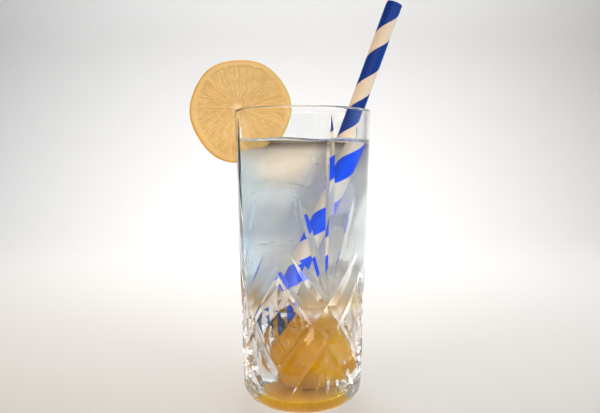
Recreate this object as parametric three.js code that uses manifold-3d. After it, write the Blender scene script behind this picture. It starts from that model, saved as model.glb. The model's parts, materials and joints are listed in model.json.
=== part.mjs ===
// Glass of yuzu cocktail: a cut highball glass with its drink, the yuzu puree at the bottom,
// a striped paper straw and a citrus wheel hung on the rim.
// Millimetres, +Z up. The origin is the centre of the glass's underside, and the front is -Y.
import * as THREE from 'three';
import { mergeVertices } from 'three/addons/utils/BufferGeometryUtils.js';
import Module from 'manifold-3d';

const wasm = await Module();
wasm.setup();

// Clearances between neighbouring solids
const GAP = 0.3;
const SLOPE_GAP = 0.5;

// Glass: a tapered tumbler with a rounded foot and a rounded lip, whose wall swells inwards
// towards a narrow low floor
const GLASS_HEIGHT = 147.5;
const RIM_RADIUS = 34.0;
const FOOT_RADIUS = 30.1;
const FOOT_ROUND = 9.5;
const RIM_WALL = 2.2;
const FLOOR_WALL = 4.6;
const FLOOR_TOP = 3.6;
const FLOOR_ROUND = 3.5;
const SWELL = 10.5;
const SWELL_TOP = 60;
const SWELL_ROWS = 6;
const GLASS_SIDES = 64;

// Cut pattern: four fans with a field of small diamonds between each two, laid out on the
// unrolled wall as millimetres round the glass at PATTERN_RADIUS and height
const REPEATS = 4;
const FIRST_FAN = 22.5;
const PATTERN_RADIUS = 32;
const PATTERN_MIDDLE = 45;
const PEAK_RISE = 23.9;
const ROOT_RISE = 9.4;
const WIDE_PAST_AXIS = 18.5;
const DIAMOND_HALF = 6.3;
const DIAMOND_ROWS = [-3, -1, 1, 3];
const BLADE_TOP = 144;
const SIDE_BLADE = { across: 14.7, top: 107.2 };
const LOW_BLADE = { across: 6.9, bottom: 10.5 };
const CUT_LIFT = 0.8;
const CUT_RAISE = 0.04;
const WIDE_CUT = { depth: 1.5, spread: 1.9, steps: 7 };
const SMALL_CUT = { depth: 1.3, spread: 3.0, steps: 4 };
const CENTRE_BLADE_CUT = { depth: 1.1, spread: 1.75, steps: 7 };
const SIDE_BLADE_CUT = { depth: 0.95, spread: 1.75, steps: 6 };
const LOW_BLADE_CUT = { depth: 0.9, spread: 1.6, steps: 5 };
const WIDE_TIP = 16;
const CENTRE_BLADE_TIPS = { startTip: 22, endTip: 18 };
const SIDE_BLADE_TIPS = { startTip: 18, endTip: 16 };
const LOW_BLADE_TIPS = { startTip: 12, endTip: 9 };

// Drink
const DRINK_LEVEL = 131.5;
const MENISCUS_RISE = 0.8;
const MENISCUS_WIDTH = 2.4;
const CONTENT_SIDES = 36;

// Puree: a scoop right of the straw, on loose puree that covers the floor
const SCOOP = { top: 48.5, widest: 22, below: 15, halfWidth: 18.3, halfDepth: 20, roundness: 0.52 };
const SCOOP_ASIDE = { shift: 3, from: 5, to: 12 };
const SCOOP_LEAN = { shift: 3, from: 30, over: 18 };
const SCOOP_LUMPS = [
  { count: 3, size: 0.035, twist: 0.12, turn: 0.8 },
  { count: 5, size: 0.025, twist: -0.2, turn: 2 },
];
const SCOOP_ROWS = 9;
const POOL_LEVEL = 6.5;
const POOL_EDGE = { below: 1, above: 1.5 };
const CREASE = { spread: 2.6, lift: 0.5 };
const PAST_WALL = 2;

// Straw: a paper tube that ends beside the scoop's left shoulder and leans on the rim at the right
const STRAW_RADIUS = 4;
const STRAW_WALL = 0.5;
const STRAW_LEAN = 0.36;
const STRAW_CROSSING = 73.4;
const STRAW_BOTTOM = 37;
const STRAW_TOP = 200;
const STRAW_SIDES = 16;

// Citrus wheel: hangs on the left of the rim by a slit from its middle to its lower edge
const WHEEL_CENTRE = { x: -31.0, z: 147.0 };
const WHEEL_RADIUS = 25.6;
const WHEEL_THICKNESS = 4.6;
const WHEEL_YAW = 13;
const PEEL_ROUND = 0.9;
const PITH_WIDTH = 3.4;
const FLESH_SINK = 0.35;
const FLESH_BANK = 1.2;
const MEMBRANE_HALF = 0.45;
const CORE_RADIUS = 2.6;
const SEGMENT_EDGES = [18, 66, 107, 137, 180, 223, 262, 300, 338];
const OUTLINE_WAVES = [
  { count: 2, size: 0.35, turn: 60 },
  { count: 3, size: 0.3, turn: 20 },
  { count: 6, size: 0.28, turn: 5 },
];
const FLESH_COLUMNS = 4;
const SLIT_LENGTH = 1.2 * WHEEL_RADIUS;

// Colours
const COLOURS = {
  glass: 0xdfe7ea,
  drink: 0xbcc4c8,
  yuzu_puree: 0xd29a10,
  straw: 0x1150d8,
  citrus_slice: 0xe6b75e,
};

// Shared helpers

const radians = (degrees) => THREE.MathUtils.degToRad(degrees);

/** Moves every vertex of a geometry to the place that a function gives for it. */
function reshaped(geometry, place) {
  const position = geometry.attributes.position;
  const vertex = new THREE.Vector3();
  for (let i = 0; i < position.count; i += 1) {
    vertex.fromBufferAttribute(position, i);
    const moved = place(vertex, i);
    position.setXYZ(i, moved.x, moved.y, moved.z);
  }
  return geometry;
}

/** A closed skin of columns and rows. Row 0 and the last row each close in one point. */
function skin(columns, rows, place) {
  const sphere = new THREE.SphereGeometry(1, columns, rows);
  const uv = sphere.attributes.uv;
  return reshaped(sphere, (vertex, i) => {
    const row = Math.round((1 - uv.getY(i)) * rows);
    const atPole = row === 0 || row === rows;
    const column = atPole ? 0 : Math.round(uv.getX(i) * columns) % columns;
    return place(column, row);
  });
}

/** The closed solid of a geometry, whichever way its faces were wound. */
function solid(geometry) {
  const bare = geometry.clone();
  bare.deleteAttribute('normal');
  bare.deleteAttribute('uv');
  const merged = mergeVertices(bare, 1e-4);
  const index = merged.index.array;
  const triangles = [];
  for (let i = 0; i < index.length; i += 3) {
    const [a, b, c] = [index[i], index[i + 1], index[i + 2]];
    if (a !== b && b !== c && c !== a) triangles.push(a, b, c);
  }
  const build = (list) => new wasm.Manifold(new wasm.Mesh({
    numProp: 3,
    vertProperties: new Float32Array(merged.attributes.position.array),
    triVerts: new Uint32Array(list),
  }));
  const made = build(triangles);
  if (made.volume() > 0) return made;
  return build(triangles.reverse());
}

/** A named mesh of a solid, in its own material. */
function meshOf(name, body, finish) {
  const { vertProperties, triVerts } = body.getMesh();
  const geometry = new THREE.BufferGeometry();
  geometry.setAttribute('position', new THREE.BufferAttribute(new Float32Array(vertProperties), 3));
  geometry.setIndex(new THREE.BufferAttribute(new Uint32Array(triVerts), 1));
  geometry.computeVertexNormals();
  const material = new THREE.MeshStandardMaterial({ color: COLOURS[name], metalness: 0, ...finish });
  const mesh = new THREE.Mesh(geometry, material);
  mesh.name = name;
  return mesh;
}

/** A body of revolution about +Z from a profile of radius and height. */
function turned(profile, sides) {
  return solid(new THREE.LatheGeometry(profile, sides).rotateX(Math.PI / 2));
}

/** Points of a round stretch in a profile, its ends included. */
function arc(centreRadius, centreHeight, round, from, to, steps) {
  const points = [];
  for (let i = 0; i <= steps; i += 1) {
    const angle = radians(from + (to - from) * i / steps);
    points.push(new THREE.Vector2(
      centreRadius + round * Math.cos(angle),
      centreHeight + round * Math.sin(angle),
    ));
  }
  return points;
}

// Glass

const outerRadius = (z) => FOOT_RADIUS + (RIM_RADIUS - FOOT_RADIUS) * z / GLASS_HEIGHT;

/** Inner radius of the wall, which swells inwards down to the floor, without the floor's corner. */
function innerRadius(z) {
  const share = (GLASS_HEIGHT - z) / (GLASS_HEIGHT - FLOOR_TOP);
  const low = Math.max(0, (SWELL_TOP - z) / (SWELL_TOP - FLOOR_TOP));
  return outerRadius(z) - RIM_WALL - (FLOOR_WALL - RIM_WALL) * share - SWELL * low * low;
}

/** Half profile of the outside: flat bottom, rounded foot, then the straight leaning side. */
function outsideProfile(top) {
  const taper = (outerRadius(top) - outerRadius(0)) / top;
  const lean = THREE.MathUtils.radToDeg(Math.atan(taper));
  const centreRadius = outerRadius(FOOT_ROUND) - FOOT_ROUND * Math.hypot(1, taper);
  return [
    new THREE.Vector2(0, 0),
    ...arc(centreRadius, FOOT_ROUND, FOOT_ROUND, -90, -lean, 6),
    new THREE.Vector2(outerRadius(top), top),
  ];
}

/** Half profile of the inside, kept clear of the wall by a gap: floor, corner, then the wall. */
function insideProfile(gap, top) {
  const floor = FLOOR_TOP + gap;
  const step = 0.1;
  let lean = 0;
  let end = floor + FLOOR_ROUND;
  for (let i = 0; i < 4; i += 1) {
    lean = Math.atan((innerRadius(end + step) - innerRadius(end - step)) / (2 * step));
    end = floor + FLOOR_ROUND * (1 - Math.sin(lean));
  }
  const wallAt = (z) => new THREE.Vector2(innerRadius(z) - gap, z);
  const centreRadius = wallAt(end).x - FLOOR_ROUND * Math.cos(lean);
  const wall = [];
  for (let i = 1; i <= SWELL_ROWS; i += 1) {
    const z = end + (SWELL_TOP - end) * i / SWELL_ROWS;
    if (z < top) wall.push(wallAt(z));
  }
  return [
    new THREE.Vector2(0, floor),
    ...arc(centreRadius, floor + FLOOR_ROUND, FLOOR_ROUND, -90, -THREE.MathUtils.radToDeg(lean), 4),
    ...wall,
    wallAt(top),
  ];
}

/** The inside of the glass as a solid, kept clear of the wall by a gap. */
function cavity(gap, top, topPoints) {
  return turned([...insideProfile(gap, top), ...topPoints], CONTENT_SIDES);
}

/** The uncut glass as one closed profile, from the underside over the lip to the floor. */
function glassBlank() {
  const lip = RIM_WALL / 2;
  const lipHeight = GLASS_HEIGHT - lip;
  const over = arc(RIM_RADIUS - lip, lipHeight, lip, 0, 180, 4).slice(1, -1);
  return turned([
    ...outsideProfile(lipHeight),
    ...over,
    ...insideProfile(0, lipHeight).reverse(),
  ], GLASS_SIDES);
}

/** Place on the outer wall for a distance round the glass, a height and a height above the wall. */
function onWall(around, z, above) {
  const angle = around / PATTERN_RADIUS;
  const reach = outerRadius(z) + above;
  return new THREE.Vector3(reach * Math.sin(angle), -reach * Math.cos(angle), z);
}

const vSection = new THREE.Shape([
  new THREE.Vector2(0, 0),
  new THREE.Vector2(1, 1),
  new THREE.Vector2(-1, 1),
]);

/** Directions in which a groove's section is laid, for a groove that runs in a given direction. */
const sections = {
  square: (run) => ({ around: run.z, z: -run.around }),
  upright: (run) => ({ around: 0, z: 1 / Math.abs(run.around) }),
  crossing: (run) => {
    const skew = 2 * Math.abs(run.around * run.z);
    return { around: -run.around / skew, z: run.z / skew };
  },
};

/**
 * A V-shaped cutter along a straight line on the unrolled wall. Its depth falls to nothing over
 * the tip lengths, and an end without one stays full. Its section is laid square to its run,
 * upright where two grooves meet in a peak, or along the grooves that cross it.
 */
function groove(from, to, cut, { startTip = 0, endTip = 0, section = sections.square } = {}) {
  const length = Math.hypot(to.around - from.around, to.z - from.z);
  const run = { around: (to.around - from.around) / length, z: (to.z - from.z) / length };
  const across = section(run);
  const spaced = (t) => {
    if (startTip && endTip) return (1 - Math.cos(Math.PI * t)) / 2;
    if (startTip) return 1 - Math.sin(Math.PI / 2 * (1 - t));
    return endTip ? Math.sin(Math.PI / 2 * t) : t;
  };
  const rise = (distance, tip) => (tip ? Math.sin(Math.PI / 2 * Math.min(1, distance / tip)) : 1);
  const prism = new THREE.ExtrudeGeometry(vSection, { depth: 1, steps: cut.steps, bevelEnabled: false });
  return solid(reshaped(prism, (vertex) => {
    const along = length * spaced(vertex.z);
    const share = rise(along, startTip) * rise(length - along, endTip);
    const depth = (cut.depth + CUT_RAISE) * share - CUT_RAISE;
    const side = vertex.x * (depth + CUT_LIFT) * cut.spread;
    return onWall(
      from.around + run.around * along + across.around * side,
      from.z + run.z * along + across.z * side,
      vertex.y * (depth + CUT_LIFT) - depth,
    );
  }));
}

/** All cutters of one repeat, about the axis of its fan. */
function fanCutters(axis) {
  const half = Math.PI * PATTERN_RADIUS / REPEATS;
  const steepness = (PEAK_RISE + ROOT_RISE) / half;
  const at = (around, z) => ({ around: axis + around, z });
  const peak = PATTERN_MIDDLE + PEAK_RISE;
  const trough = PATTERN_MIDDLE - PEAK_RISE;
  const reach = (half + WIDE_PAST_AXIS) * steepness;
  const highRoot = PATTERN_MIDDLE + ROOT_RISE;
  const lowRoot = PATTERN_MIDDLE - ROOT_RISE;
  const cutters = [
    groove(at(0, highRoot), at(0, BLADE_TOP), CENTRE_BLADE_CUT, CENTRE_BLADE_TIPS),
    groove(at(0, lowRoot), at(0, LOW_BLADE.bottom), LOW_BLADE_CUT, LOW_BLADE_TIPS),
  ];
  for (const side of [-1, 1]) {
    cutters.push(
      groove(at(-half * side, peak), at(WIDE_PAST_AXIS * side, peak - reach), WIDE_CUT,
        { endTip: WIDE_TIP, section: sections.upright }),
      groove(at(half * side, trough), at(-WIDE_PAST_AXIS * side, trough + reach), WIDE_CUT,
        { endTip: WIDE_TIP, section: sections.upright }),
      groove(at(0, highRoot), at(SIDE_BLADE.across * side, SIDE_BLADE.top), SIDE_BLADE_CUT,
        SIDE_BLADE_TIPS),
      groove(at(0, lowRoot), at(LOW_BLADE.across * side, LOW_BLADE.bottom), LOW_BLADE_CUT,
        LOW_BLADE_TIPS),
    );
    for (const row of DIAMOND_ROWS) {
      const start = (row - 3) * DIAMOND_HALF / 2;
      const end = (row + 3) * DIAMOND_HALF / 2;
      cutters.push(groove(
        at(half + start * side / steepness, PATTERN_MIDDLE + (row + 3) * DIAMOND_HALF / 2),
        at(half + end * side / steepness, PATTERN_MIDDLE + (row - 3) * DIAMOND_HALF / 2),
        SMALL_CUT,
        { section: sections.crossing },
      ));
    }
  }
  return cutters;
}

function glassBody() {
  let body = glassBlank();
  for (let i = 0; i < REPEATS; i += 1) {
    const axis = PATTERN_RADIUS * radians(FIRST_FAN + i * 360 / REPEATS);
    for (const cutter of fanCutters(axis)) body = body.subtract(cutter);
  }
  return body;
}

// Straw

/** A straight bar along the straw, from below its lower end to its upper end. */
function strawBar(shape, extra) {
  const direction = new THREE.Vector3(STRAW_LEAN, 0, 1).normalize();
  const foot = new THREE.Vector3(STRAW_LEAN * (STRAW_BOTTOM - STRAW_CROSSING), 0, STRAW_BOTTOM);
  const length = (STRAW_TOP - STRAW_BOTTOM) / direction.z;
  const bar = new THREE.ExtrudeGeometry(shape, {
    depth: length + extra,
    steps: 1,
    bevelEnabled: false,
    curveSegments: STRAW_SIDES,
  });
  bar.translate(0, 0, -extra);
  bar.rotateY(Math.atan(STRAW_LEAN));
  bar.translate(foot.x, foot.y, foot.z);
  return solid(bar);
}

function circle(radius) {
  return new THREE.Shape().absarc(0, 0, radius, 0, 2 * Math.PI);
}

function strawBody() {
  const ring = circle(STRAW_RADIUS);
  ring.holes.push(new THREE.Path().absarc(0, 0, STRAW_RADIUS - STRAW_WALL, 0, 2 * Math.PI, true));
  return strawBar(ring, 0);
}

// Citrus wheel

/** Radius of the wheel's outline at an angle from +X, turning towards +Z. */
function outlineRadius(angle) {
  return OUTLINE_WAVES.reduce(
    (sum, wave) => sum + wave.size * Math.cos(wave.count * (angle - radians(wave.turn))),
    WHEEL_RADIUS,
  );
}

/** Turns the wheel's own plane into the glass: a little round the vertical, then to the rim. */
function hungOnRim(x, depth, z) {
  const yaw = radians(WHEEL_YAW);
  return new THREE.Vector3(
    WHEEL_CENTRE.x + x * Math.cos(yaw) - depth * Math.sin(yaw),
    x * Math.sin(yaw) + depth * Math.cos(yaw),
    WHEEL_CENTRE.z + z,
  );
}

/** Columns of the wheel: each segment's membrane, its two flanks and steps over its flesh. */
function wheelColumns() {
  const columns = [];
  SEGMENT_EDGES.forEach((edge, i) => {
    const next = SEGMENT_EDGES[i + 1] ?? SEGMENT_EDGES[0] + 360;
    columns.push({ edge, flank: 0, membrane: true });
    columns.push({ edge, flank: 1 });
    for (let step = 1; step < FLESH_COLUMNS; step += 1) {
      columns.push({ edge: edge + (next - edge) * step / FLESH_COLUMNS, flank: 0 });
    }
    columns.push({ edge: next, flank: -1 });
  });
  return columns;
}

/** The wheel: flesh sunk a little between core, membranes and pith, and a rounded peel. */
function wheelBody() {
  const columns = wheelColumns();
  const half = WHEEL_THICKNESS / 2;
  const rings = [
    { radius: () => 0, depth: () => half },
    { radius: () => CORE_RADIUS, depth: () => half },
    { radius: () => CORE_RADIUS + FLESH_BANK, depth: (sink) => half - sink },
    { radius: (outline) => outline - PITH_WIDTH - FLESH_BANK, depth: (sink) => half - sink },
    { radius: (outline) => outline - PITH_WIDTH, depth: () => half },
    { radius: (outline) => outline - PEEL_ROUND, depth: () => half },
    { radius: (outline) => outline, depth: () => half - PEEL_ROUND },
  ];
  const rows = 2 * rings.length - 1;
  return solid(skin(columns.length, rows, (columnIndex, row) => {
    const column = columns[columnIndex];
    const front = row < rings.length;
    const ring = rings[front ? row : rows - row];
    const plain = radians(column.edge);
    const radius = ring.radius(outlineRadius(plain));
    const depth = ring.depth(column.membrane ? 0 : FLESH_SINK);
    const shift = radius > 0 ? column.flank * Math.asin(MEMBRANE_HALF / radius) : 0;
    const angle = plain + shift;
    return hungOnRim(radius * Math.cos(angle), front ? -depth : depth, radius * Math.sin(angle));
  }));
}

/** The wheel with plain faces, grown by a gap, to cut its neighbours with. */
function wheelRoom(gap) {
  const columns = 48;
  const half = WHEEL_THICKNESS / 2 + gap;
  const turn = 2 * Math.PI / columns;
  return solid(skin(columns, 3, (column, row) => {
    const angle = column * turn;
    const radius = row === 0 || row === 3 ? 0 : outlineRadius(angle) + gap;
    return hungOnRim(radius * Math.cos(angle), row < 2 ? -half : half, radius * Math.sin(angle));
  }));
}

/** The slit's cutter: the glass's wall below the lip, grown by a gap. */
function rimRoom(gap) {
  const low = WHEEL_CENTRE.z - SLIT_LENGTH;
  const top = GLASS_HEIGHT + gap;
  return turned([
    new THREE.Vector2(innerRadius(low) - gap, low),
    new THREE.Vector2(outerRadius(low) + gap, low),
    new THREE.Vector2(RIM_RADIUS + gap, top),
    new THREE.Vector2(RIM_RADIUS - RIM_WALL - gap, top),
    new THREE.Vector2(innerRadius(low) - gap, low),
  ], GLASS_SIDES);
}

// Puree and drink

/** The scoop's middle at a height: right of the glass's axis, and further right at its top. */
function scoopMiddle(z) {
  const high = Math.max(0, (z - SCOOP_LEAN.from) / SCOOP_LEAN.over);
  const aside = THREE.MathUtils.smoothstep(z, SCOOP_ASIDE.from, SCOOP_ASIDE.to);
  return SCOOP_ASIDE.shift * aside + SCOOP_LEAN.shift * high * high;
}

/** The scoop's lumpy side at a height and an angle, as an offset from its middle. */
function scoopOffset(z, angle) {
  const span = z > SCOOP.widest ? SCOOP.top - SCOOP.widest : SCOOP.below;
  const rise = Math.min(1, Math.abs(z - SCOOP.widest) / span);
  const lumps = SCOOP_LUMPS.reduce(
    (sum, lump) => sum + lump.size * Math.sin(lump.count * angle + lump.twist * z + lump.turn),
    1,
  );
  return new THREE.Vector2(SCOOP.halfWidth * Math.cos(angle), SCOOP.halfDepth * Math.sin(angle))
    .multiplyScalar((1 - rise * rise) ** SCOOP.roundness * lumps);
}

/**
 * Heights of the puree's rows. The pool's share is 1 where the loose puree reaches the wall.
 * Spread and lift move a row outwards and upwards off the puree's surface by the gap, and further
 * outwards in the crease between the pool and the scoop's underside.
 */
function pureeRows(gap) {
  const poolLow = POOL_LEVEL - POOL_EDGE.below;
  const scoopLow = POOL_LEVEL + POOL_EDGE.above;
  const rows = [
    { z: FLOOR_TOP - 1, pool: 1, spread: gap, lift: 0 },
    { z: poolLow, pool: 1, spread: gap, lift: gap },
    { z: (poolLow + scoopLow) / 2, pool: 0.5, spread: gap, lift: gap },
    { z: scoopLow, pool: 0, spread: gap * CREASE.spread, lift: gap * CREASE.lift },
  ];
  for (let i = 1; i < SCOOP_ROWS; i += 1) {
    const z = scoopLow + (SCOOP.top - scoopLow) * Math.sin(Math.PI / 2 * i / SCOOP_ROWS);
    const tilt = THREE.MathUtils.clamp((z - SCOOP.widest) / (SCOOP.below / 3), -1, 1);
    rows.push({ z, pool: 0, spread: gap, lift: gap * tilt });
  }
  return rows;
}

/** The scoop on the loose puree, wider than the glass at its foot, grown by a gap. */
function pureeSkin(gap) {
  const rows = pureeRows(gap);
  const last = rows.length + 1;
  const turn = 2 * Math.PI / CONTENT_SIDES;
  return solid(skin(CONTENT_SIDES, last, (column, row) => {
    if (row === 0) return new THREE.Vector3(0, 0, rows[0].z);
    if (row === last) return new THREE.Vector3(scoopMiddle(SCOOP.top), 0, SCOOP.top + gap);
    const { z, pool, spread, lift } = rows[row - 1];
    const angle = column * turn;
    const offset = scoopOffset(z, angle);
    offset.setLength(offset.length() + spread);
    offset.x += scoopMiddle(z);
    const wide = innerRadius(z) + PAST_WALL;
    const beyond = new THREE.Vector2(wide * Math.cos(angle), wide * Math.sin(angle));
    const place = offset.lerp(beyond, pool);
    return new THREE.Vector3(place.x, place.y, z + lift);
  }));
}

const strawRoom = strawBar(circle(STRAW_RADIUS + GAP), 2 * GAP);

function pureeBody() {
  const above = SCOOP.top + PAST_WALL;
  return cavity(GAP, above, [new THREE.Vector2(0, above)])
    .intersect(pureeSkin(0))
    .subtract(strawRoom);
}

function drinkBody() {
  const wall = innerRadius(DRINK_LEVEL) - GAP;
  const surface = [
    new THREE.Vector2(wall - MENISCUS_WIDTH / 3, DRINK_LEVEL + MENISCUS_RISE / 4),
    new THREE.Vector2(wall - MENISCUS_WIDTH, DRINK_LEVEL),
    new THREE.Vector2(0, DRINK_LEVEL),
  ];
  return cavity(GAP, DRINK_LEVEL + MENISCUS_RISE, surface)
    .subtract(pureeSkin(SLOPE_GAP))
    .subtract(strawRoom)
    .subtract(wheelRoom(GAP));
}

// The whole

const cocktail = new THREE.Group();
cocktail.add(
  meshOf('glass', glassBody(), { roughness: 0.03 }),
  meshOf('drink', drinkBody(), { roughness: 0.05 }),
  meshOf('yuzu_puree', pureeBody(), { roughness: 0.55 }),
  meshOf('straw', strawBody(), { roughness: 0.6 }),
  meshOf('citrus_slice', wheelBody().subtract(rimRoom(GAP)), { roughness: 0.4 }),
);

export default cocktail;
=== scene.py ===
"""Glass of yuzu cocktail: operators that model each piece and its finish, with a panel for the sizes."""
import json
import math
import random

import bpy
from mathutils import Euler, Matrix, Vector, noise

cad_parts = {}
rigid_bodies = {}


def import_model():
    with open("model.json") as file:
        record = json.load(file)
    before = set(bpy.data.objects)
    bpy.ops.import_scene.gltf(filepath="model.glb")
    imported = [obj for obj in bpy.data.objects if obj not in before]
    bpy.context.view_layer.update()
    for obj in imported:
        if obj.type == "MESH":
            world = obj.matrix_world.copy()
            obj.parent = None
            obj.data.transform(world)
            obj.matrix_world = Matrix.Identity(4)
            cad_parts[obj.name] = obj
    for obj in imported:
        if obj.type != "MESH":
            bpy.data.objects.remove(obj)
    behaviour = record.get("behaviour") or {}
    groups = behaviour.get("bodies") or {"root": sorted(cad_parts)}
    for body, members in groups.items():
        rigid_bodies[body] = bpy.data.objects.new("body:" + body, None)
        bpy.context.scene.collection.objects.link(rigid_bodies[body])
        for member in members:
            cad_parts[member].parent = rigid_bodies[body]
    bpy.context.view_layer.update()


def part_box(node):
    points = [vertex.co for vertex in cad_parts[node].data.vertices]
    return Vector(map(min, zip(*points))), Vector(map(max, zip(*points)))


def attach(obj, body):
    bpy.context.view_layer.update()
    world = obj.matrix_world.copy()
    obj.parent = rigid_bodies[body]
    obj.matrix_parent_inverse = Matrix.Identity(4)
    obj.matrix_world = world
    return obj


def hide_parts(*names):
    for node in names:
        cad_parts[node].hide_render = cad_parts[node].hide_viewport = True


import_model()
GLASS_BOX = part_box("glass")

bl_info = {
    "name": "Yuzu Cocktail",
    "version": (1, 0, 0),
    "blender": (4, 5, 0),
    "location": "View3D > Sidebar > Cocktail",
    "description": "Models a cut highball glass of yuzu cocktail with ice, straw and citrus wheel",
    "category": "Add Mesh",
}

BODY = "root"
MM = 0.001


# Settings

def size_setting(name, default, description):
    """A length in metres."""
    return bpy.props.FloatProperty(name=name, description=description, default=default, unit="LENGTH")


def angle_setting(name, degrees, description):
    return bpy.props.FloatProperty(
        name=name, description=description, default=math.radians(degrees), subtype="ANGLE")


def colour_setting(name, default, description):
    return bpy.props.FloatVectorProperty(
        name=name, description=description, default=default, subtype="COLOR", size=3)


def number_setting(name, default, description, **limits):
    return bpy.props.FloatProperty(name=name, description=description, default=default, **limits)


def count_setting(name, default, description, least):
    return bpy.props.IntProperty(name=name, description=description, default=default, min=least)


class GlassSettings(bpy.types.PropertyGroup):
    height: size_setting("Height", GLASS_BOX[1].z, "Height of the glass")
    rim_radius: size_setting("Rim radius", 34.0 * MM, "Outer radius at the rim")
    foot_radius: size_setting("Foot radius", 30.1 * MM, "Outer radius that the wall would have at the table")
    foot_round: size_setting("Foot round", 9.5 * MM, "Radius of the rounded foot")
    rim_wall: size_setting("Rim wall", 2.2 * MM, "Wall thickness at the rim")
    floor_wall: size_setting("Floor wall", 4.6 * MM, "Wall thickness at the floor")
    floor_top: size_setting("Floor", 3.6 * MM, "Height of the inside floor")
    floor_round: size_setting("Floor round", 3.5 * MM, "Radius of the inside corner")
    swell: size_setting("Swell", 10.5 * MM, "How much the wall thickens inwards down to the floor")
    swell_top: size_setting("Swell from", 60.0 * MM, "Height below which the wall thickens")
    sides: count_setting("Sides", 192, "Steps round the glass", 24)


class CutSettings(bpy.types.PropertyGroup):
    repeats: count_setting("Repeats", 4, "Fans round the glass", 1)
    first_fan: angle_setting("First fan", 22.5, "Turn of the first fan from the front")
    reference_radius: size_setting("Pattern radius", 32.0 * MM, "Radius at which the pattern is laid out")
    middle: size_setting("Pattern middle", 45.0 * MM, "Height of the pattern's middle line")
    peak_rise: size_setting("Peak rise", 23.9 * MM, "Peak of the wide cuts above the middle line")
    root_rise: size_setting("Root rise", 9.4 * MM, "Root of the fan above the middle line")
    past_axis: size_setting("Past the fan", 18.5 * MM, "How far a wide cut runs on past the fan's axis")
    diamond_half: size_setting("Diamond half height", 6.3 * MM, "Half height of one small diamond")
    wide_depth: size_setting("Wide cut depth", 1.5 * MM, "Depth of the wide cuts")
    small_depth: size_setting("Small cut depth", 1.3 * MM, "Depth of the cuts between small diamonds")
    blade_top: size_setting("Blade top", 144.0 * MM, "Height of the tip of a fan's middle blade")


class DrinkSettings(bpy.types.PropertyGroup):
    level: size_setting("Level", 131.5 * MM, "Height of the drink's surface")
    meniscus: size_setting("Meniscus", 1.3 * MM, "Rise of the drink at the wall")
    meniscus_reach: size_setting("Meniscus reach", 1.3 * MM, "Distance from the wall in which it fades")
    into_wall: size_setting("Into the wall", 0.15 * MM, "How far the drink reaches into the glass")
    tint: colour_setting("Tint", (0.55, 0.60, 0.64), "Colour that a deep view into the drink leaves")
    density: number_setting("Density", 14.0, "Strength of the tint per metre")
    haze: colour_setting("Haze", (0.75, 0.79, 0.79), "Colour of the cloud of juice and ice in the drink")


class PureeSettings(bpy.types.PropertyGroup):
    top: size_setting("Top", 48.5 * MM, "Highest point of the scoop")
    widest: size_setting("Widest", 22.0 * MM, "Height at which the scoop is widest")
    below: size_setting("Below", 15.0 * MM, "How far the scoop's round would go on below its widest")
    half_width: size_setting("Half width", 18.3 * MM, "Half width of the scoop")
    half_depth: size_setting("Half depth", 20.0 * MM, "Half depth of the scoop from front to back")
    aside: size_setting("Aside", 3.0 * MM, "How far the scoop lies to the right of the middle")
    lean: size_setting("Lean", 3.0 * MM, "How much further right its top leans")
    pool: size_setting("Pool", 6.5 * MM, "Level of the loose puree round the scoop's foot")
    bright: colour_setting("Bright", (0.49, 0.255, 0.001), "Lighter puree")
    deep: colour_setting("Deep", (0.36, 0.172, 0.001), "Deeper puree")


class StrawSettings(bpy.types.PropertyGroup):
    radius: size_setting("Radius", 4.0 * MM, "Outer radius of the straw")
    wall: size_setting("Wall", 0.5 * MM, "Thickness of the paper")
    lean: number_setting("Lean", 0.36, "Sideways travel for each unit of height")
    crossing: size_setting("Crossing", 73.4 * MM, "Height at which the straw crosses the glass's axis")
    bottom: size_setting("Bottom", 37.0 * MM, "Height of the lower end")
    top: size_setting("Top", 200.0 * MM, "Height of the upper end")
    stripe_pitch: size_setting("Stripe pitch", 27.7 * MM, "Length of one turn of the stripes along the straw")
    stripe_share: number_setting("Stripe share", 0.55, "Share of a turn that is blue", min=0, max=1)
    stripe_start: number_setting("Stripe start", 0.891, "Turn of the stripes at the lower end")
    blue: colour_setting("Blue", (0.0, 0.032, 0.25), "Stripe colour")
    wet_blue: colour_setting("Wet blue", (0.0, 0.085, 1.0), "Stripe colour below the drink's surface")
    white: colour_setting("White", (0.73, 0.61, 0.47), "Paper colour")
    wet_white: colour_setting("Wet white", (0.70, 0.65, 0.60), "Paper colour below the drink's surface")


class CitrusSettings(bpy.types.PropertyGroup):
    centre_x: size_setting("Centre across", -31.0 * MM, "Place of the wheel's centre to the side")
    centre_z: size_setting("Centre height", 147.0 * MM, "Height of the wheel's centre")
    radius: size_setting("Radius", 25.55 * MM, "Mean radius of the wheel")
    thickness: size_setting("Thickness", 4.6 * MM, "Thickness of the wheel")
    yaw: angle_setting("Turn", 13, "Turn of the wheel about the upright axis")
    pith: size_setting("Pith", 2.7 * MM, "Width of the peel and pith")
    core_x: size_setting("Core across", -2.2 * MM, "How far the core lies off the wheel's middle")
    core_z: size_setting("Core up", 1.4 * MM, "How far the core lies above the wheel's middle")
    flesh: colour_setting("Flesh", (0.60, 0.365, 0.098), "Colour of the flesh")
    pith_colour: colour_setting("Pith colour", (0.70, 0.445, 0.15), "Colour of pith and membranes")
    peel: colour_setting("Peel", (0.70, 0.38, 0.035), "Colour of the peel")


class StageSettings(bpy.types.PropertyGroup):
    camera_distance: size_setting("Camera distance", 315.0 * MM, "Camera's distance from the glass's axis")
    camera_height: size_setting("Camera height", 125.3 * MM, "Height of the camera")
    camera_side: size_setting("Camera side", -1.3 * MM, "Place of the camera to the side")
    camera_pitch: angle_setting("Camera pitch", 4.785, "How far the camera looks down")
    lens: number_setting("Lens", 37.2, "Focal length in millimetres on a 36 mm sensor")
    floor_colour: colour_setting("Floor", (0.66, 0.66, 0.66), "Colour of floor and backdrop")


# Modelling helpers

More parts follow.
